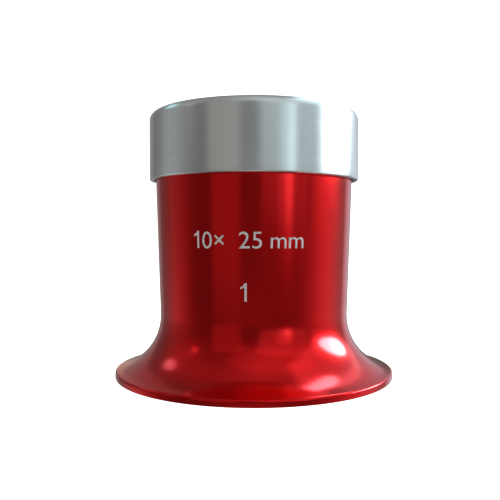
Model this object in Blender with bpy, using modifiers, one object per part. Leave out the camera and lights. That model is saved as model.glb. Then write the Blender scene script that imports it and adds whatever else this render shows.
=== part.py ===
"""Watchmaker's eye loupe: a flared eyecup with a screw-on lens ring at the top.

The loupe stands on the rim of its eyecup. The origin is the centre of the rim's resting plane,
+Z runs up the optical axis to the lens end, and every turned piece is concentric with Z.

    eyecup_body   red anodised body: flared rim, tapered barrel, lens seat and threaded neck
    seat_gasket   flat rubber washer on the seat inside the neck
    rear_lens     plano-convex lens, flat face towards the eye
    lens_spacer   black sleeve that holds the two lenses apart
    front_lens    plano-convex lens, flat face outwards
    o_ring        rubber ring in the groove of the lens ring, on the neck's end
    clamp_ring    satin ring with a female thread, whose lip holds the lenses down

The lens ring unscrews: right-hand thread, one pitch of rise for each turn.
"""

import math

import bmesh
import bpy

MM = 0.001  # every dimension below is in millimetres

# ---- driving dimensions, mm -------------------------------------------------------------
SEGMENTS = 48  # sides of every turned piece
GAP = 0.04  # between pieces that rest on each other

RIM_R = 18.3  # eyecup rim
RIM_EDGE_Z = 0.88  # height of the rim's upper corner
RIM_FOOT_R = 0.2  # rounding under the rim
FLARE_R = 7.3  # fillet of the flare
WALL = 1.1
WAIST_R = 12.42  # narrowest point of the barrel
WAIST_Z = 8.25
BARREL_TOP_R = 12.98
BARREL_TOP_Z = 24.6

SHOULDER_Z = 26.9  # where the barrel steps in to the neck
NECK_TOP_Z = 32.6
CORE_R = 12.42  # root of the male thread
MALE_R = 12.85  # crest of the male thread
SEAT_Z = 24.6
SEAT_R = 10.9
BORE_R = 11.75  # lens bore of the neck

PITCH = 0.75
THREAD_ROOT_HALF = 0.29  # half the width of a thread ridge at its root and at its crest
THREAD_CREST_HALF = 0.06
FEMALE_R = 12.98  # root of the female thread
FEMALE_CREST_R = 12.55

RING_R = 13.8
RING_BOTTOM_Z = 25.55
RING_TOP_Z = 34.35
RING_TOP_ROUND = 1.0
RING_FOOT_ROUND = 0.4
SKIRT_R = 13.12  # bore of the skirt that passes over the barrel
LIP_R = 10.95
LIP_Z = 33.36
GROOVE_R = 12.52  # wall of the O-ring groove
GROOVE_Z = 32.75

LENS_R = 11.6
LENS_EDGE = 1.2
LENS_CURVE_R = 26.6  # two lenses of this curve, face to face, focus at one inch
GASKET_T = 0.6
SPACER_T = 0.5
APEX_GAP = 0.3  # between the two convex faces
O_RING_R = 12.1
O_RING_WIRE_R = 0.34


# ---- scene and materials ----------------------------------------------------------------
def clear_scene():
    for obj in list(bpy.data.objects):
        bpy.data.objects.remove(obj)


def material(name, colour, metallic, roughness, transmission=0.0):
    made = bpy.data.materials.new(name)
    made.use_nodes = True
    shader = made.node_tree.nodes["Principled BSDF"]
    shader.inputs["Base Color"].default_value = (*colour, 1.0)
    shader.inputs["Metallic"].default_value = metallic
    shader.inputs["Roughness"].default_value = roughness
    shader.inputs["Transmission Weight"].default_value = transmission
    made.diffuse_color = (*colour, 1.0)
    return made


def collection(name):
    made = bpy.data.collections.new(name)
    bpy.context.scene.collection.children.link(made)
    return made


# ---- profiles, lists of (radius, height) in millimetres -----------------------------------
def arc(centre_r, centre_z, radius, start_deg, end_deg, steps):
    """Points on an arc. 0 degrees points outwards along +r and 90 degrees up along +z."""
    points = []
    for i in range(steps + 1):
        a = math.radians(start_deg + (end_deg - start_deg) * i / steps)
        points.append((centre_r + radius * math.cos(a), centre_z + radius * math.sin(a)))
    return points


def flare_centre():
    """Centre of the flare's fillet, which is tangent to the tapered barrel."""
    taper = math.atan2(BARREL_TOP_R - WAIST_R, BARREL_TOP_Z - WAIST_Z)
    return WAIST_R + FLARE_R * math.cos(taper), WAIST_Z - FLARE_R * math.sin(taper), math.degrees(taper)


def flare(radius, end_z, steps, centre):
    """The fillet from the barrel's tangent down to height end_z."""
    r0, z0, taper = centre
    end = 180 + math.degrees(math.asin((z0 - end_z) / radius))
    return arc(r0, z0, radius, 180 - taper, end, steps)


def eyecup_profile():
    centre = flare_centre()
    taper = math.radians(centre[2])
    outer = [
        (BORE_R, NECK_TOP_Z),
        (CORE_R - 0.2, NECK_TOP_Z),
        (CORE_R, NECK_TOP_Z - 0.2),
        (CORE_R, SHOULDER_Z),
        (BARREL_TOP_R - 0.1, SHOULDER_Z),
        (BARREL_TOP_R, SHOULDER_Z - 0.1),
        (BARREL_TOP_R, BARREL_TOP_Z),
    ]
    outer += flare(FLARE_R, RIM_EDGE_Z, 14, centre)
    rim = [(RIM_R, RIM_EDGE_Z - 0.1)]
    rim += arc(RIM_R - RIM_FOOT_R, RIM_FOOT_R, RIM_FOOT_R, 0, -90, 4)
    inner = flare(FLARE_R + WALL, 0.0, 12, centre)[::-1]
    top_inner_z = SEAT_Z - 2.0
    top_inner_r = inner[-1][0] + (top_inner_z - inner[-1][1]) * math.tan(taper)
    seat = [
        (top_inner_r, top_inner_z),
        (SEAT_R, top_inner_z + 0.9),
        (SEAT_R, SEAT_Z),
        (BORE_R, SEAT_Z),
    ]
    return outer + rim + inner + seat


def ring_profile():
    outside = arc(RING_R - RING_TOP_ROUND, RING_TOP_Z - RING_TOP_ROUND, RING_TOP_ROUND, 90, 0, 6)
    outside += arc(RING_R - RING_FOOT_ROUND, RING_BOTTOM_Z + RING_FOOT_ROUND, RING_FOOT_ROUND, 0, -90, 4)
    inside = [
        (SKIRT_R + 0.1, RING_BOTTOM_Z),
        (SKIRT_R, RING_BOTTOM_Z + 0.1),
        (SKIRT_R, 28.2),
        (FEMALE_R, 28.35),
        (FEMALE_R, GROOVE_Z),
        (GROOVE_R, GROOVE_Z),
        (GROOVE_R, LIP_Z),
        (LIP_R, LIP_Z),
        (LIP_R, LIP_Z + 0.24),
        (LIP_R + 0.8, RING_TOP_Z),
    ]
    return outside + inside


def lens_profile(flat_z, up):
    """A plano-convex lens from its flat face at flat_z. up is 1 where the convex face is above it."""
    edge_z = flat_z + up * LENS_EDGE
    depth = LENS_CURVE_R - math.sqrt(LENS_CURVE_R**2 - LENS_R**2)
    centre_z = edge_z + up * (depth - LENS_CURVE_R)
    curve = []
    for i in range(9):
        r = LENS_R * math.sin(math.pi / 2 * i / 8)
        curve.append((r, centre_z + up * math.sqrt(LENS_CURVE_R**2 - r * r)))
    flat = [(LENS_R, flat_z + up * 0.12), (LENS_R - 0.12, flat_z), (0.0, flat_z)]
    points = curve + flat
    return points if up > 0 else points[::-1]


def spacer_profile(bottom_z, top_z):
    """A sleeve whose ends are coned to lie on the convex faces."""
    inner_r = LENS_R - SPACER_T
    cone = SPACER_T * LENS_R / math.sqrt(LENS_CURVE_R**2 - LENS_R**2)
    return [
        (inner_r, top_z - cone),
        (LENS_R, top_z),
        (LENS_R, bottom_z),
        (inner_r, bottom_z + cone),
    ]


# ---- solids -------------------------------------------------------------------------------
def outline(name, points, home, paint=None, closed=True):
    """An object that holds a profile as edges in the XZ plane."""
    mesh = bpy.data.meshes.new(name)
    count = len(points)
    edges = [(i, i + 1) for i in range(count - 1)]
    if closed:
        edges.append((count - 1, 0))
    mesh.from_pydata([(r * MM, 0.0, z * MM) for r, z in points], edges, [])
    obj = bpy.data.objects.new(name, mesh)
    home.objects.link(obj)
    if paint:
        mesh.materials.append(paint)
    return obj


def screw(obj, segments=SEGMENTS, rise=0.0, turns=1):
    made = obj.modifiers.new("Turn", "SCREW")
    made.axis = "Z"
    made.angle = 2 * math.pi
    made.steps = segments
    made.render_steps = segments
    made.screw_offset = rise * MM
    made.iterations = turns
    made.use_merge_vertices = rise == 0.0
    made.merge_threshold = 0.00001
    made.use_smooth_shade = True
    return made


def turned(name, points, home, paint, closed=True):
    obj = outline(name, points, home, paint, closed)
    screw(obj)
    return obj


def boolean(obj, other, operation):
    made = obj.modifiers.new(operation.title(), "BOOLEAN")
    made.operation = operation
    made.solver = "EXACT"
    made.object = other
    return made


def evaluated_mesh(obj, name):
    bpy.context.view_layer.update()
    graph = bpy.context.evaluated_depsgraph_get()
    return bpy.data.meshes.new_from_object(obj.evaluated_get(graph))


def helper(obj):
    obj.hide_render = True
    obj.display_type = "WIRE"
    return obj


def thread_ridge(name, base_r, root_r, crest_r, start_z, turns, home):
    """A right-hand helical ridge with closed ends. Its base is sunk in the wall that carries it."""
    section = [
        (base_r, start_z + THREAD_ROOT_HALF),
        (root_r, start_z + THREAD_ROOT_HALF),
        (crest_r, start_z + THREAD_CREST_HALF),
        (crest_r, start_z - THREAD_CREST_HALF),
        (root_r, start_z - THREAD_ROOT_HALF),
        (base_r, start_z - THREAD_ROOT_HALF),
    ]
    path = outline(name + "_section", section, home)
    screw(path, rise=PITCH, turns=turns)
    mesh = evaluated_mesh(path, name)
    bpy.data.objects.remove(path)
    shape = bmesh.new()
    shape.from_mesh(mesh)
    bmesh.ops.remove_doubles(shape, verts=shape.verts, dist=1e-7)
    bmesh.ops.holes_fill(shape, edges=[e for e in shape.edges if e.is_boundary], sides=0)
    bmesh.ops.recalc_face_normals(shape, faces=shape.faces)
    shape.to_mesh(mesh)
    shape.free()
    obj = bpy.data.objects.new(name, mesh)
    home.objects.link(obj)
    return helper(obj)


def build():
    clear_scene()
    loupe = collection("watchmaker_loupe")
    cutters = collection("cutters")

    red = material("red_anodised_aluminium", (0.46, 0.008, 0.012), 1.0, 0.28)
    satin = material("satin_aluminium", (0.78, 0.80, 0.80), 1.0, 0.3)
    glass = material("optical_glass", (0.92, 0.97, 0.96), 0.0, 0.02, 1.0)
    black = material("black_anodised_aluminium", (0.02, 0.02, 0.022), 1.0, 0.45)
    rubber = material("black_rubber", (0.025, 0.025, 0.025), 0.0, 0.6)

    # Eyecup: one turned piece, with the male thread joined to its neck.
    body = turned("eyecup_body", eyecup_profile(), loupe, red)
    male = thread_ridge("male_thread", CORE_R - 0.27, CORE_R, MALE_R, 27.6, 7, cutters)
    male_envelope = helper(
        turned(
            "male_thread_envelope",
            [
                (CORE_R - 0.37, NECK_TOP_Z - 0.1),
                (CORE_R - 0.12, NECK_TOP_Z - 0.1),
                (MALE_R + 0.08, NECK_TOP_Z - 0.7),
                (MALE_R + 0.08, 28.7),
                (CORE_R - 0.12, 28.05),
                (CORE_R - 0.37, 28.05),
            ],
            cutters,
            None,
        )
    )
    boolean(male, male_envelope, "INTERSECT")
    boolean(body, male, "UNION")

    # Lens ring: one turned piece, with the female thread half a pitch from the male one.
    ring = turned("clamp_ring", ring_profile(), loupe, satin)
    female = thread_ridge(
        "female_thread", FEMALE_R + 0.32, FEMALE_R, FEMALE_CREST_R, 27.6 + PITCH / 2, 7, cutters
    )
    female_envelope = helper(
        turned(
            "female_thread_envelope",
            [
                (FEMALE_R + 0.07, 32.35),
                (FEMALE_R + 0.42, 32.35),
                (FEMALE_R + 0.42, 28.75),
                (FEMALE_R + 0.07, 28.75),
                (FEMALE_CREST_R - 0.05, 29.35),
                (FEMALE_CREST_R - 0.05, 31.8),
            ],
            cutters,
            None,
        )
    )
    boolean(female, female_envelope, "INTERSECT")
    boolean(ring, female, "UNION")

    # Lens stack, from the seat upwards.
    z = SEAT_Z + GAP
    turned(
        "seat_gasket",
        [
            (SEAT_R + 0.05, z + GASKET_T),
            (LENS_R, z + GASKET_T),
            (LENS_R, z),
            (SEAT_R + 0.05, z),
        ],
        loupe,
        rubber,
    )
    z += GASKET_T + GAP
    turned("rear_lens", lens_profile(z, 1), loupe, glass, closed=False)
    z += LENS_EDGE
    depth = LENS_CURVE_R - math.sqrt(LENS_CURVE_R**2 - LENS_R**2)
    span = 2 * depth + APEX_GAP
    turned("lens_spacer", spacer_profile(z + GAP, z + span - GAP), loupe, black)
    z += span + LENS_EDGE
    turned("front_lens", lens_profile(z, -1), loupe, glass, closed=False)

    # O-ring, between the neck's end and the lip of the lens ring.
    bpy.ops.mesh.primitive_torus_add(
        major_segments=SEGMENTS,
        minor_segments=10,
        major_radius=O_RING_R * MM,
        minor_radius=O_RING_WIRE_R * MM,
        location=(0, 0, (NECK_TOP_Z + GAP + O_RING_WIRE_R) * MM),
    )
    seal = bpy.context.active_object
    seal.name = "o_ring"
    seal.data.materials.append(rubber)
    seal.data.shade_smooth()
    for home in list(seal.users_collection):
        home.objects.unlink(seal)
    loupe.objects.link(seal)


build()
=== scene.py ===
"""The looks of a watchmaker's eye loupe: fine turned surfaces, threads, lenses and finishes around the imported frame."""

import math

import bmesh
import bpy
from mathutils import Matrix, Vector


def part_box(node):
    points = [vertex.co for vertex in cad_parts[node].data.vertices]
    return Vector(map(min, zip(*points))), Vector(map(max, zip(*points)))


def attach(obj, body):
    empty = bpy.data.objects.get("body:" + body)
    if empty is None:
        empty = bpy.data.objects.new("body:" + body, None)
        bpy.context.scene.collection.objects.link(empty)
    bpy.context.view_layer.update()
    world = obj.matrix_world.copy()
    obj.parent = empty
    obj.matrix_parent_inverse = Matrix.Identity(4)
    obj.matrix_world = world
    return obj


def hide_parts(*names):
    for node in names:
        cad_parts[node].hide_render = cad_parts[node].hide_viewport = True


MM = 0.001
SEGMENTS = 192

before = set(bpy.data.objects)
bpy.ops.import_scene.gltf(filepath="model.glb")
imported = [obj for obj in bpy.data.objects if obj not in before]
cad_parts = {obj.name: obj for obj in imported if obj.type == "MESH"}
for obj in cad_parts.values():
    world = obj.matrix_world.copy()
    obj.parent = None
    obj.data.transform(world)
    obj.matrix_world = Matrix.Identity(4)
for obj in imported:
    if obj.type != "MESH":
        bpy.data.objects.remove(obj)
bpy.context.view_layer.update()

# ---- sizes, read from the frame, in millimetres ------------------------------------------


def size(node):
    lo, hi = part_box(node)
    return max(hi.x, -lo.x) / MM, lo.z / MM, hi.z / MM


RIM_R, _, NECK_TOP_Z = size("eyecup_body")
RING_R, RING_BOTTOM_Z, RING_TOP_Z = size("clamp_ring")
LENS_R, FRONT_APEX_Z, FRONT_FLAT_Z = size("front_lens")
_, REAR_FLAT_Z, REAR_APEX_Z = size("rear_lens")
SPACER_R, SPACER_LO, SPACER_HI = size("lens_spacer")
GASKET_R, GASKET_LO, GASKET_HI = size("seat_gasket")
SEAL_R, SEAL_LO, SEAL_HI = size("o_ring")

RIM_EDGE_Z, FOOT_R, LIP_FILLET = 0.88, 0.12, 0.34
FLARE_R = 7.3
WALL = 1.1
WAIST_R, WAIST_Z = 12.42, 8.25
BARREL_TOP_R, BARREL_TOP_Z = 12.98, 24.6
SHOULDER_Z = 26.9
CORE_R, MALE_R = 12.42, 12.85
SEAT_R, SEAT_Z, BORE_R = 10.9, 24.6, 11.75
PITCH, ROOT_HALF, CREST_HALF = 0.75, 0.29, 0.06
THREAD_Z = 27.6
FEMALE_R, FEMALE_CREST_R = 12.98, 12.55
SKIRT_R, LIP_R, LIP_Z = 13.12, 10.95, 33.36
GROOVE_R, GROOVE_Z = 12.52, 32.75
LENS_CURVE_R, LENS_EDGE = 26.6, 1.2


# ---- shader helpers -----------------------------------------------------------------------
class Paint:
    """A material whose nodes are added one call at a time."""

    def __init__(self, name):
        self.material = bpy.data.materials.new(name)
        self.material.use_nodes = True
        self.tree = self.material.node_tree
        self.shader = self.tree.nodes["Principled BSDF"]

    def node(self, kind, links=None, inputs=None, **settings):
        made = self.tree.nodes.new(kind)
        for key, value in settings.items():
            setattr(made, key, value)
        for key, value in (inputs or {}).items():
            made.inputs[key].default_value = value
        for key, source in (links or {}).items():
            self.tree.links.new(source, made.inputs[key])
        return made

    def math(self, operation, a, b=None, clamp=False):
        made = self.node("ShaderNodeMath", operation=operation, use_clamp=clamp)
        for i, value in enumerate((a, b)):
            if value is None:
                continue
            if isinstance(value, (int, float)):
                made.inputs[i].default_value = value
            else:
                self.tree.links.new(value, made.inputs[i])
        return made.outputs[0]

    def mix(self, factor, a, b):
        made = self.node("ShaderNodeMix", data_type="RGBA")
        for key, value in ((0, factor), (6, a), (7, b)):
            if isinstance(value, (int, float, tuple)):
                made.inputs[key].default_value = value if not isinstance(value, tuple) else (*value, 1.0)
            else:
                self.tree.links.new(value, made.inputs[key])
        return made.outputs[2]

    def span(self, value, low, high, to_low, to_high):
        made = self.node("ShaderNodeMapRange", clamp=True)
        self.tree.links.new(value, made.inputs[0])
        for i, v in enumerate((low, high, to_low, to_high)):
            made.inputs[i + 1].default_value = v
        return made.outputs[0]

    def set(self, **sockets):
        for key, value in sockets.items():
            self.shader.inputs[key.replace("_", " ")].default_value = value

    def link(self, source, socket):
        self.tree.links.new(source, self.shader.inputs[socket])


def turned_coordinates(paint):
    """(azimuth in turns, radius, height) of the surface point, from its place on the piece, in metres."""
    place = paint.node("ShaderNodeTexCoord").outputs["Object"]
    split = paint.node("ShaderNodeSeparateXYZ", links={0: place})
    x, y, z = split.outputs
    radius = paint.math("SQRT", paint.math("ADD", paint.math("MULTIPLY", x, x), paint.math("MULTIPLY", y, y)))
    azimuth = paint.math("DIVIDE", paint.math("ARCTAN2", y, x), 2 * math.pi)
    return place, azimuth, radius, z


def turning_lines(paint, place, azimuth, radius, z, pitch):
    """Fine lines that a lathe tool leaves: noise along the profile, which hardly changes round the piece."""
    along = paint.math("ADD", paint.math("MULTIPLY", radius, 1.31), z)
    cos = paint.math("COSINE", paint.math("MULTIPLY", azimuth, 2 * math.pi))
    sin = paint.math("SINE", paint.math("MULTIPLY", azimuth, 2 * math.pi))
    where = paint.node(
        "ShaderNodeCombineXYZ",
        links={
            0: paint.math("MULTIPLY", cos, 0.9),
            1: paint.math("MULTIPLY", sin, 0.9),
            2: paint.math("DIVIDE", along, pitch),
        },
    )
    return paint.node(
        "ShaderNodeTexNoise", links={"Vector": where.outputs[0]}, inputs={"Scale": 1.0, "Detail": 3.0, "Roughness": 0.6}
    ).outputs["Fac"]


def smudges(paint, place, scale, detail=4.0):
    return paint.node(
        "ShaderNodeTexNoise", links={"Vector": place}, inputs={"Scale": scale, "Detail": detail, "Roughness": 0.55}
    ).outputs["Fac"]


def metal(name, colour_a, colour_b, roughness, spread, anisotropic, coat, coat_roughness, coat_ior, line_pitch, line_height):
    paint = Paint(name)
    place, azimuth, radius, z = turned_coordinates(paint)
    fine = turning_lines(paint, place, azimuth, radius, z, line_pitch)
    coarse = turning_lines(paint, place, azimuth, radius, z, line_pitch * 5)
    cloud = smudges(paint, place, 160.0)
    specks = smudges(paint, place, 2600.0, 2.0)
    tone = paint.math("ADD", paint.math("MULTIPLY", fine, 0.6), paint.math("MULTIPLY", cloud, 0.4))
    paint.link(paint.mix(paint.span(tone, 0.32, 0.68, 0.0, 1.0), colour_a, colour_b), "Base Color")
    rough = paint.math(
        "ADD",
        paint.span(fine, 0.3, 0.7, roughness - spread, roughness + spread),
        paint.span(cloud, 0.35, 0.65, -spread * 0.6, spread * 0.6),
    )
    paint.link(rough, "Roughness")
    height = paint.math(
        "ADD",
        paint.math("MULTIPLY", fine, 0.7),
        paint.math("ADD", paint.math("MULTIPLY", coarse, 0.5), paint.math("MULTIPLY", specks, 0.12)),
    )
    bump = paint.node("ShaderNodeBump", links={"Height": height}, inputs={"Strength": 1.0, "Distance": line_height})
    paint.link(bump.outputs[0], "Normal")
    tangent = paint.node("ShaderNodeTangent", direction_type="RADIAL", axis="Z")
    paint.link(tangent.outputs[0], "Tangent")
    paint.set(
        Metallic=1.0,
        Anisotropic=anisotropic,
        Anisotropic_Rotation=0.25,
        Coat_Weight=coat,
        Coat_Roughness=coat_roughness,
        Coat_IOR=coat_ior,
    )
    return paint.material


def rubber(name):
    paint = Paint(name)
    place, azimuth, radius, z = turned_coordinates(paint)
    grain = smudges(paint, place, 5200.0, 3.0)
    cloud = smudges(paint, place, 300.0)
    paint.link(paint.mix(paint.span(cloud, 0.3, 0.7, 0.0, 1.0), (0.012, 0.012, 0.013), (0.028, 0.027, 0.026)), "Base Color")
    paint.link(paint.span(grain, 0.3, 0.7, 0.48, 0.68), "Roughness")
    bump = paint.node("ShaderNodeBump", links={"Height": grain}, inputs={"Strength": 0.6, "Distance": 0.00002})
    paint.link(bump.outputs[0], "Normal")
    paint.set(Metallic=0.0)
    return paint.material


def glass(name):
    paint = Paint(name)
    place, azimuth, radius, z = turned_coordinates(paint)
    dust = smudges(paint, place, 900.0, 5.0)
    # The polished faces are clear; the ground edge is frosted.
    ground = paint.span(radius, (LENS_R - 0.1) * MM, (LENS_R - 0.05) * MM, 0.0, 1.0)
    film = paint.span(dust, 0.5, 0.8, 0.0, 0.03)
    paint.link(paint.math("MAXIMUM", paint.math("MULTIPLY", ground, 0.55), film), "Roughness")
    paint.link(paint.mix(ground, (0.985, 0.995, 0.99), (0.75, 0.8, 0.78)), "Base Color")
    paint.set(Metallic=0.0, IOR=1.517, Transmission_Weight=1.0, Thin_Film_Thickness=105.0, Thin_Film_IOR=1.38)
    return paint.material


def engraving(name):
    paint = Paint(name)
    place, azimuth, radius, z = turned_coordinates(paint)
    grain = smudges(paint, place, 9000.0, 3.0)
    paint.link(paint.mix(paint.span(grain, 0.3, 0.7, 0.0, 1.0), (0.34, 0.325, 0.32), (0.47, 0.45, 0.44)), "Base Color")
    paint.link(paint.span(grain, 0.3, 0.7, 0.5, 0.7), "Roughness")
    bump = paint.node("ShaderNodeBump", links={"Height": grain}, inputs={"Strength": 0.5, "Distance": 0.00001})
    paint.link(bump.outputs[0], "Normal")
    paint.set(Metallic=0.0)
    return paint.material


# ---- turned pieces ------------------------------------------------------------------------
def arc(centre_r, centre_z, radius, start_deg, end_deg, steps):
    points = []
    for i in range(steps + 1):
        a = math.radians(start_deg + (end_deg - start_deg) * i / steps)
        points.append((centre_r + radius * math.cos(a), centre_z + radius * math.sin(a)))
    return points


def line(a, b, step):
    """Points after a up to b."""
    count = max(1, math.ceil(math.dist(a, b) / step))
    return [(a[0] + (b[0] - a[0]) * i / count, a[1] + (b[1] - a[1]) * i / count) for i in range(1, count + 1)]


def smooth(x):
    x = min(1.0, max(0.0, x))
    return x * x * (3 - 2 * x)


def thread_height(z, azimuth, start):
    """0 at the root and 1 at the crest of a right-hand ridge."""
    turns = (z - start) / PITCH - azimuth / (2 * math.pi)
    off = abs(turns - round(turns)) * PITCH
    h = min(1.0, max(0.0, (ROOT_HALF - off) / (ROOT_HALF - CREST_HALF)))
    return smooth(h) * 0.35 + h * 0.65


def male_thread(r, z, azimuth):
    fade = min(smooth((z - 28.05) / 0.65), smooth((NECK_TOP_Z - 0.12 - z) / 0.6))
    return r + thread_height(z, azimuth, THREAD_Z) * fade * (MALE_R - CORE_R)


def female_thread(r, z, azimuth):
    fade = min(smooth((z - 28.75) / 0.6), smooth((32.35 - z) / 0.55))
    return r - thread_height(z, azimuth, THREAD_Z + PITCH / 2) * fade * (FEMALE_R - FEMALE_CREST_R)


def turn(name, profile, closed=True, thread=None, zone=None, smooth_angle=35.0):
    """A closed solid of revolution. profile runs down the outer side. thread changes the radius in its zone."""
    rows = []
    verts = []
    poles = []
    for r, z in profile:
        if r < 1e-6:
            poles.append(len(verts))
            rows.append([len(verts)] * SEGMENTS)
            verts.append((0.0, 0.0, z * MM))
            continue
        start = len(verts)
        cut = thread and zone[0] <= z <= zone[1] and abs(r - zone[2]) < 1e-6
        for i in range(SEGMENTS):
            a = 2 * math.pi * i / SEGMENTS
            rr = thread(r, z, a) if cut else r
            verts.append((rr * math.cos(a) * MM, rr * math.sin(a) * MM, z * MM))
        rows.append(list(range(start, start + SEGMENTS)))
    faces = []
    count = len(rows)
    for k in range(count if closed else count - 1):
        upper, lower = rows[k], rows[(k + 1) % count]
        for i in range(SEGMENTS):
            j = (i + 1) % SEGMENTS
            face = []
            for v in (upper[i], lower[i], lower[j], upper[j]):
                if v not in face:
                    face.append(v)
            if len(face) > 2:
                faces.append(face)
    mesh = bpy.data.meshes.new(name)
    mesh.from_pydata(verts, [], faces)
    mesh.validate()
    mesh.shade_smooth()
    mesh.set_sharp_from_angle(angle=math.radians(smooth_angle))
    obj = bpy.data.objects.new(name, mesh)
    bpy.context.scene.collection.objects.link(obj)
    return obj


def fillet(points, index, radius, steps=4):
    """points with the corner at index rounded to radius."""
    a, b, c = (Vector(points[i]) for i in (index - 1, index, (index + 1) % len(points)))
    to_a, to_c = (a - b).normalized(), (c - b).normalized()
    half = to_a.angle(to_c) / 2
    reach = min(radius / math.tan(half), 0.49 * (a - b).length, 0.49 * (c - b).length)
    start, end = b + to_a * reach, b + to_c * reach
    made = []
    for i in range(steps + 1):
        t = i / steps
        p = start * (1 - t) ** 2 + b * 2 * t * (1 - t) + end * t * t
        made.append((p.x, p.y))
    return points[:index] + made + points[index + 1 :]


def rounded(points, corners, steps=4):
    """points with several corners rounded. corners is {index: radius}."""
    for index in sorted(corners, reverse=True):
        points = fillet(points, index, corners[index], steps)
    return points


TAPER = math.atan2(BARREL_TOP_R - WAIST_R, BARREL_TOP_Z - WAIST_Z)
FLARE_CENTRE = (WAIST_R + FLARE_R * math.cos(TAPER), WAIST_Z - FLARE_R * math.sin(TAPER))


def flare(radius, end_z, steps):
    end = 180 + math.degrees(math.asin((FLARE_CENTRE[1] - end_z) / radius))
    return arc(*FLARE_CENTRE, radius, 180 - math.degrees(TAPER), end, steps)


def eyecup():
    top = rounded(
        [(BORE_R, NECK_TOP_Z - 1.2), (BORE_R, NECK_TOP_Z), (CORE_R - 0.2, NECK_TOP_Z), (CORE_R, NECK_TOP_Z - 0.2), (CORE_R, 32.3)],
        {1: 0.12, 2: 0.06, 3: 0.06},
    )
    neck = line((CORE_R, 32.3), (CORE_R, 28.0), 0.032)
    shoulder = rounded(
        [(CORE_R, 28.0), (CORE_R, SHOULDER_Z), (BARREL_TOP_R, SHOULDER_Z), (BARREL_TOP_R, SHOULDER_Z - 1.5)],
        {1: 0.12, 2: 0.16},
    )[1:]
    arc_points = flare(FLARE_R, RIM_EDGE_Z, 56)
    barrel = line(shoulder[-1], arc_points[0], 0.8)
    lip = rounded([arc_points[-5], (RIM_R, RIM_EDGE_Z - 0.04), (RIM_R, FOOT_R)], {1: LIP_FILLET}, 14)[1:]
    foot = arc(RIM_R - FOOT_R, FOOT_R, FOOT_R, 0, -90, 10)[1:]
    inner = flare(FLARE_R + WALL, 0.0, 40)[::-1]
    inner_top = SEAT_Z - 2.0
    inner_r = inner[-1][0] + (inner_top - inner[-1][1]) * math.tan(TAPER)
    inner += line(inner[-1], (inner_r, inner_top), 1.0)
    seat = rounded(
        [inner[-1], (SEAT_R, inner_top + 0.9), (SEAT_R, SEAT_Z), (BORE_R, SEAT_Z), (BORE_R, NECK_TOP_Z - 1.2)],
        {1: 0.15, 2: 0.1},
    )[1:-1]
    profile = top[1:] + neck + shoulder + barrel + arc_points[1:-4] + lip + foot + inner + seat + [top[0]]
    return turn("eyecup_turned", profile, thread=male_thread, zone=(28.0, 32.3, CORE_R))


def lens_ring():
    outside = arc(RING_R - 1.0, RING_TOP_Z - 1.0, 1.0, 90, 0, 20)
    outside += line(outside[-1], (RING_R, RING_BOTTOM_Z + 0.22), 0.8)
    outside += arc(RING_R - 0.22, RING_BOTTOM_Z + 0.22, 0.22, 0, -90, 8)[1:]
    inside = rounded(
        [(SKIRT_R + 0.3, RING_BOTTOM_Z), (SKIRT_R, RING_BOTTOM_Z), (SKIRT_R, 28.2), (FEMALE_R, 28.35), (FEMALE_R, 28.6)],
        {1: 0.14},
    )[1:]
    inside += line((FEMALE_R, 28.6), (FEMALE_R, 32.5), 0.032)
    inside += rounded(
        [
            (FEMALE_R, 32.5),
            (FEMALE_R, GROOVE_Z),
            (GROOVE_R, GROOVE_Z),
            (GROOVE_R, LIP_Z),
            (LIP_R, LIP_Z),
            (LIP_R, LIP_Z + 0.24),
            (LIP_R + 0.8, RING_TOP_Z),
            (RING_R - 1.2, RING_TOP_Z),
        ],
        {1: 0.06, 3: 0.1, 4: 0.05, 5: 0.06, 6: 0.1},
    )[1:-1]
    return turn("lens_ring_turned", outside + inside, thread=female_thread, zone=(28.6, 32.5, FEMALE_R))


def lens(name, flat_z, up):
    edge_z = flat_z + up * LENS_EDGE
    depth = LENS_CURVE_R - math.sqrt(LENS_CURVE_R**2 - LENS_R**2)
    centre_z = edge_z + up * (depth - LENS_CURVE_R)
    curve = []
    for i in range(40):
        r = (LENS_R - 0.1) * i / 39
        curve.append((r, centre_z + up * math.sqrt(LENS_CURVE_R**2 - r * r)))
    curve.append((LENS_R, edge_z - up * 0.02))
    flat = [(LENS_R, flat_z + up * 0.12), (LENS_R - 0.12, flat_z)]
    flat += [((LENS_R - 0.12) * (1 - i / 12), flat_z) for i in range(1, 13)]
    points = curve + flat
    return turn(name, points if up > 0 else points[::-1], closed=False, smooth_angle=20.0)


def spacer():
    inner_r = SPACER_R - 0.5
    cone = 0.5 * SPACER_R / math.sqrt(LENS_CURVE_R**2 - SPACER_R**2)
    profile = [(SPACER_R, SPACER_HI)] + line((SPACER_R, SPACER_HI), (SPACER_R, SPACER_LO), 0.8)
    profile += [(inner_r, SPACER_LO + cone)]
    # Shallow glare grooves run round the inside of the sleeve.
    low, high = SPACER_LO + cone, SPACER_HI - cone
    count = 120
    for i in range(1, count):
        z = low + (high - low) * i / count
        wave = abs((z - low) / 0.36 - round((z - low) / 0.36)) * 2
        profile.append((inner_r + 0.09 * (1 - wave) * smooth((z - low) / 0.2) * smooth((high - z) / 0.2), z))
    profile.append((inner_r, high))
    return turn("lens_spacer_turned", profile)


def gasket():
    profile = [
        (SEAT_R + 0.06, GASKET_HI),
        (GASKET_R - 0.05, GASKET_HI),
        (GASKET_R, GASKET_HI - 0.05),
        (GASKET_R, GASKET_LO + 0.05),
        (GASKET_R - 0.05, GASKET_LO),
        (SEAT_R + 0.06, GASKET_LO),
        (SEAT_R + 0.05, GASKET_LO + 0.05),
        (SEAT_R + 0.05, GASKET_HI - 0.05),
    ]
    return turn("seat_gasket_cut", profile)


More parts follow.
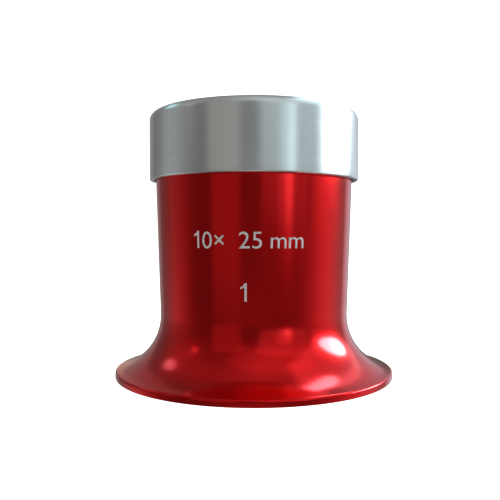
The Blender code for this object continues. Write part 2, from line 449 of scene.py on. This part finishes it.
def seal():
    wire = (SEAL_HI - SEAL_LO) / 2 + 0.012
    centre = SEAL_R - 0.34
    return turn("o_ring_moulded", arc(centre, (SEAL_HI + SEAL_LO) / 2, wire, 90, -270, 28)[:-1])


# ---- marks --------------------------------------------------------------------------------
def barrel_radius(z):
    return WAIST_R + (z - WAIST_Z) * math.tan(TAPER)


def figure_one(height):
    """The figure 1 with a flag, as flat outline points."""
    h, w = height, height * 0.135
    return [
        (w / 2, 0.0),
        (w / 2, h),
        (-w * 0.25, h),
        (-w * 1.05, h * 0.86),
        (-w * 2.05, h * 0.775),
        (-w * 2.05, h * 0.66),
        (-w * 1.2, h * 0.71),
        (-w / 2, h * 0.78),
        (-w / 2, 0.0),
    ]


def flat_figures(text, height, weight):
    """A flat mesh of the text, which starts at x = 0, and its width. The figure 1 is drawn, the rest is the plain built-in face."""
    shape = bmesh.new()
    x = 0.0
    for char in text:
        if char == " ":
            x += height * 0.34
            continue
        if char == "1":
            points = figure_one(height)
            low = min(p[0] for p in points)
            shape.faces.new([shape.verts.new((px - low + x, py, 0.0)) for px, py in points])
            x += max(p[0] for p in points) - low + height * 0.2
            continue
        curve = bpy.data.curves.new("figure", "FONT")
        curve.body = char
        curve.size = height / 0.729
        curve.offset = weight
        curve.resolution_u = 10
        source = bpy.data.objects.new("figure", curve)
        bpy.context.scene.collection.objects.link(source)
        bpy.context.view_layer.update()
        mesh = bpy.data.meshes.new_from_object(source.evaluated_get(bpy.context.evaluated_depsgraph_get()))
        bpy.data.objects.remove(source)
        low, high = min(v.co.x for v in mesh.vertices), max(v.co.x for v in mesh.vertices)
        mesh.transform(Matrix.Translation((x - low, 0.0, 0.0)))
        shape.from_mesh(mesh)
        bpy.data.meshes.remove(mesh)
        x += high - low + height * 0.13
    return shape, x - height * 0.13


def mark(name, text, left_x, base_z, height, weight, paint):
    """Laser-cut figures, wrapped on the front of the barrel. left_x is measured round the barrel; all sizes in millimetres."""
    shape, width = flat_figures(text, height, weight)
    bmesh.ops.remove_doubles(shape, verts=shape.verts, dist=0.0005)
    # Long edges are cut so that the figures bend with the barrel.
    for _ in range(2):
        bmesh.ops.subdivide_edges(shape, edges=[e for e in shape.edges if e.calc_length() > 0.3], cuts=1)
    bmesh.ops.triangulate(shape, faces=shape.faces)
    raised = bmesh.ops.extrude_face_region(shape, geom=shape.faces[:])
    for v in (g for g in raised["geom"] if isinstance(g, bmesh.types.BMVert)):
        v.co.z = 1.0
    for v in shape.verts:
        z = base_z + v.co.y
        angle = (left_x + v.co.x) / WAIST_R
        r = barrel_radius(z) + (0.01 if v.co.z > 0.5 else -0.03)
        v.co = Vector((r * math.sin(angle), -r * math.cos(angle), z)) * MM
    bmesh.ops.recalc_face_normals(shape, faces=shape.faces)
    mesh = bpy.data.meshes.new(name)
    shape.to_mesh(mesh)
    shape.free()
    obj = bpy.data.objects.new(name, mesh)
    bpy.context.scene.collection.objects.link(obj)
    mesh.materials.append(paint)
    return obj


# ---- finishes and pieces ------------------------------------------------------------------
red = metal(
    "red_anodised",
    (0.78, 0.001, 0.004),
    (0.86, 0.002, 0.006),
    roughness=0.21,
    spread=0.02,
    anisotropic=0.3,
    coat=0.95,
    coat_roughness=0.17,
    coat_ior=1.5,
    line_pitch=0.00007,
    line_height=0.00000035,
)
silver = metal(
    "satin_aluminium",
    (0.82, 0.845, 0.85),
    (0.9, 0.925, 0.93),
    roughness=0.3,
    spread=0.025,
    anisotropic=0.8,
    coat=0.1,
    coat_roughness=0.25,
    coat_ior=1.5,
    line_pitch=0.00009,
    line_height=0.00000055,
)
black = metal(
    "black_anodised",
    (0.016, 0.016, 0.018),
    (0.032, 0.032, 0.034),
    roughness=0.5,
    spread=0.06,
    anisotropic=0.3,
    coat=0.3,
    coat_roughness=0.4,
    coat_ior=1.5,
    line_pitch=0.00009,
    line_height=0.000002,
)
nitrile = rubber("black_rubber")
optical = glass("lens_glass")
laser = engraving("laser_mark")


def finish(obj, node, body, paint):
    obj.data.materials.clear()
    obj.data.materials.append(paint)
    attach(obj, body)
    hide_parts(node)


finish(eyecup(), "eyecup_body", "eyecup", red)
finish(lens_ring(), "clamp_ring", "ring", silver)
finish(lens("front_lens_polished", FRONT_FLAT_Z, -1), "front_lens", "eyecup", optical)
finish(lens("rear_lens_polished", REAR_FLAT_Z, 1), "rear_lens", "eyecup", optical)
finish(spacer(), "lens_spacer", "eyecup", black)
finish(gasket(), "seat_gasket", "eyecup", nitrile)
finish(seal(), "o_ring", "seal", nitrile)

for name, text, x, z, height, weight in (
    ("mark_power", "10×", -7.3, 16.9, 2.05, 0.008),
    ("mark_focus", "25 mm", -1.75, 16.9, 2.05, 0.008),
    ("mark_number", "1", -1.6, 10.75, 2.15, 0.0),
):
    piece = mark(name, text, x, z, height, weight, laser)
    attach(piece, "eyecup")


# ---- stage, light and camera --------------------------------------------------------------
def stage():
    mesh = bpy.data.meshes.new("floor")
    s = 3.0
    mesh.from_pydata([(-s, -s, 0), (s, -s, 0), (s, s, 0), (-s, s, 0)], [], [(0, 1, 2, 3)])
    floor = bpy.data.objects.new("floor", mesh)
    floor.location.z = -0.00002
    bpy.context.scene.collection.objects.link(floor)
    paint = Paint("pale_floor")
    place = paint.node("ShaderNodeTexCoord").outputs["Object"]
    grain = smudges(paint, place, 700.0, 4.0)
    paint.link(paint.mix(grain, (0.44, 0.44, 0.44), (0.47, 0.47, 0.47)), "Base Color")
    paint.set(Roughness=0.9)
    paint.shader.inputs["Specular IOR Level"].default_value = 0.1
    paint.shader.inputs["Emission Color"].default_value = (1, 1, 1, 1)
    paint.shader.inputs["Emission Strength"].default_value = 0.88
    # From underneath the floor is clear, so that the rim can be seen.
    clear = paint.node("ShaderNodeBsdfTransparent")
    facing = paint.node("ShaderNodeNewGeometry").outputs["Backfacing"]
    mixed = paint.node("ShaderNodeMixShader", links={0: facing, 1: paint.shader.outputs[0], 2: clear.outputs[0]})
    paint.tree.links.new(mixed.outputs[0], paint.tree.nodes["Material Output"].inputs["Surface"])
    mesh.materials.append(paint.material)
    floor.visible_glossy = False


def panel(name, azimuth, elevation, width, height, radiance, colour=(1.0, 1.0, 1.0), distance=0.6, round_shape=False):
    """A soft flat light. Azimuth 0 is in front of the object and 90 on its right; width and height in degrees."""
    a, e = math.radians(azimuth), math.radians(elevation)
    direction = Vector((math.sin(a) * math.cos(e), -math.cos(a) * math.cos(e), math.sin(e)))
    light = bpy.data.lights.new(name, "AREA")
    light.shape = "ELLIPSE" if round_shape else "RECTANGLE"
    light.size = 2 * distance * math.tan(math.radians(width / 2))
    light.size_y = 2 * distance * math.tan(math.radians(height / 2))
    light.energy = radiance * math.pi * light.size * light.size_y * (math.pi / 4 if round_shape else 1.0)
    light.color = colour
    obj = bpy.data.objects.new(name, light)
    obj.location = direction * distance + Vector((0, 0, 0.017))
    obj.rotation_euler = direction.to_track_quat("Z", "Y").to_euler()
    obj.visible_camera = False
    bpy.context.scene.collection.objects.link(obj)
    return obj


def room(ambient, glows):
    """The room's light: an even grey with soft glows in it. What the camera sees directly is plain white.

    Each glow is (azimuth, elevation, half width in degrees, (r, g, b))."""
    world = bpy.data.worlds.new("studio")
    bpy.context.scene.world = world
    world.use_nodes = True
    tree = world.node_tree
    links = tree.links
    way = tree.nodes.new("ShaderNodeTexCoord").outputs["Generated"]
    total = None
    for azimuth, elevation, half_width, colour in glows:
        a, e = math.radians(azimuth), math.radians(elevation)
        tight = math.log(2) / (1 - math.cos(math.radians(half_width)))
        dot = tree.nodes.new("ShaderNodeVectorMath")
        dot.operation = "DOT_PRODUCT"
        dot.inputs[1].default_value = (math.sin(a) * math.cos(e), -math.cos(a) * math.cos(e), math.sin(e))
        links.new(way, dot.inputs[0])
        fall = tree.nodes.new("ShaderNodeMath")
        fall.operation = "MULTIPLY_ADD"
        fall.inputs[1].default_value = tight
        fall.inputs[2].default_value = -tight
        links.new(dot.outputs["Value"], fall.inputs[0])
        glow = tree.nodes.new("ShaderNodeMath")
        glow.operation = "EXPONENT"
        links.new(fall.outputs[0], glow.inputs[0])
        tint = tree.nodes.new("ShaderNodeVectorMath")
        tint.operation = "MULTIPLY_ADD"
        links.new(glow.outputs[0], tint.inputs[0])
        tint.inputs[1].default_value = colour
        tint.inputs[2].default_value = ambient
        if total:
            links.new(total, tint.inputs[2])
        total = tint.outputs[0]
    background = tree.nodes["Background"]
    background.inputs[0].default_value = (*ambient, 1.0)
    if total:
        links.new(total, background.inputs[0])
    white = tree.nodes.new("ShaderNodeBackground")
    white.inputs[0].default_value = (1, 1, 1, 1)
    path = tree.nodes.new("ShaderNodeLightPath")
    mixed = tree.nodes.new("ShaderNodeMixShader")
    links.new(path.outputs["Is Camera Ray"], mixed.inputs[0])
    links.new(background.outputs[0], mixed.inputs[1])
    links.new(white.outputs[0], mixed.inputs[2])
    links.new(mixed.outputs[0], tree.nodes["World Output"].inputs[0])


stage()
daylight = (0.83, 1.0, 1.05)
lamplight = (1.0, 0.94, 0.85)
skylight = (0.45, 0.92, 1.05)
woodlight = (1.0, 0.82, 0.5)
room(
    (0.14, 0.14, 0.138),
    [
        (20, 50, 24, (0.16, 0.17, 0.17)),
        (-95, 42, 28, (0.13, 0.13, 0.125)),
        (60, 84, 22, (0.17, 0.18, 0.18)),
        (-108, -27, 18, (0.34, 0.34, 0.34)),
        (0, -42, 20, (0.3, 0.29, 0.28)),
        (96, -22, 26, (0.42, 0.45, 0.46)),
    ],
)
panel("window", 102, 17, 41, 17, 9.5, daylight, round_shape=True)
panel("window_wall", 105, 38, 66, 60, 0.42, daylight)
panel("ceiling_front", 24, 52, 74, 42, 0.09)
panel("front_right", 35, 20, 56, 44, 0.22, daylight)
panel("door", 35, 9, 17, 24, 0.2, daylight)
panel("strip", 41, 9, 6, 25, 0.13, daylight)
panel("window_edge", 76, 17, 20, 34, 0.13, daylight)
panel("back_right", 145, 12, 26, 56, 0.32, (0.86, 0.94, 1.08))
panel("back_left", -158, 12, 34, 60, 0.1)
panel("back_wood", -171, 12, 24, 26, 0.16, woodlight)
panel("left_wall", -96, 14, 34, 50, 0.04)
panel("front_left", -32, 12, 34, 46, 0.13, lamplight)
panel("lamp_left", -115, 35, 14, 13, 1.15, skylight, round_shape=True)
panel("lamp_small", -74, 27, 8, 8, 0.6, round_shape=True)
panel("lamp_front", 39, 4, 10, 12, 0.7, (0.7, 1.0, 1.0), round_shape=True)
panel("ceiling_lamp", 136, 52, 22, 15, 3.6, skylight, round_shape=True)

camera = bpy.data.objects.new("camera", bpy.data.cameras.new("camera"))
bpy.context.scene.collection.objects.link(camera)
camera.data.lens = 45.4
camera.data.sensor_width = 36.0
camera.data.clip_start = 0.001
camera.data.clip_end = 20.0
camera.location = (-0.0005, -0.0849, 0.01842)
camera.rotation_euler = (math.radians(90 - 1.35), 0, 0)
bpy.context.scene.camera = camera

scene = bpy.context.scene
scene.view_settings.view_transform = "Standard"
scene.view_settings.look = "High Contrast"
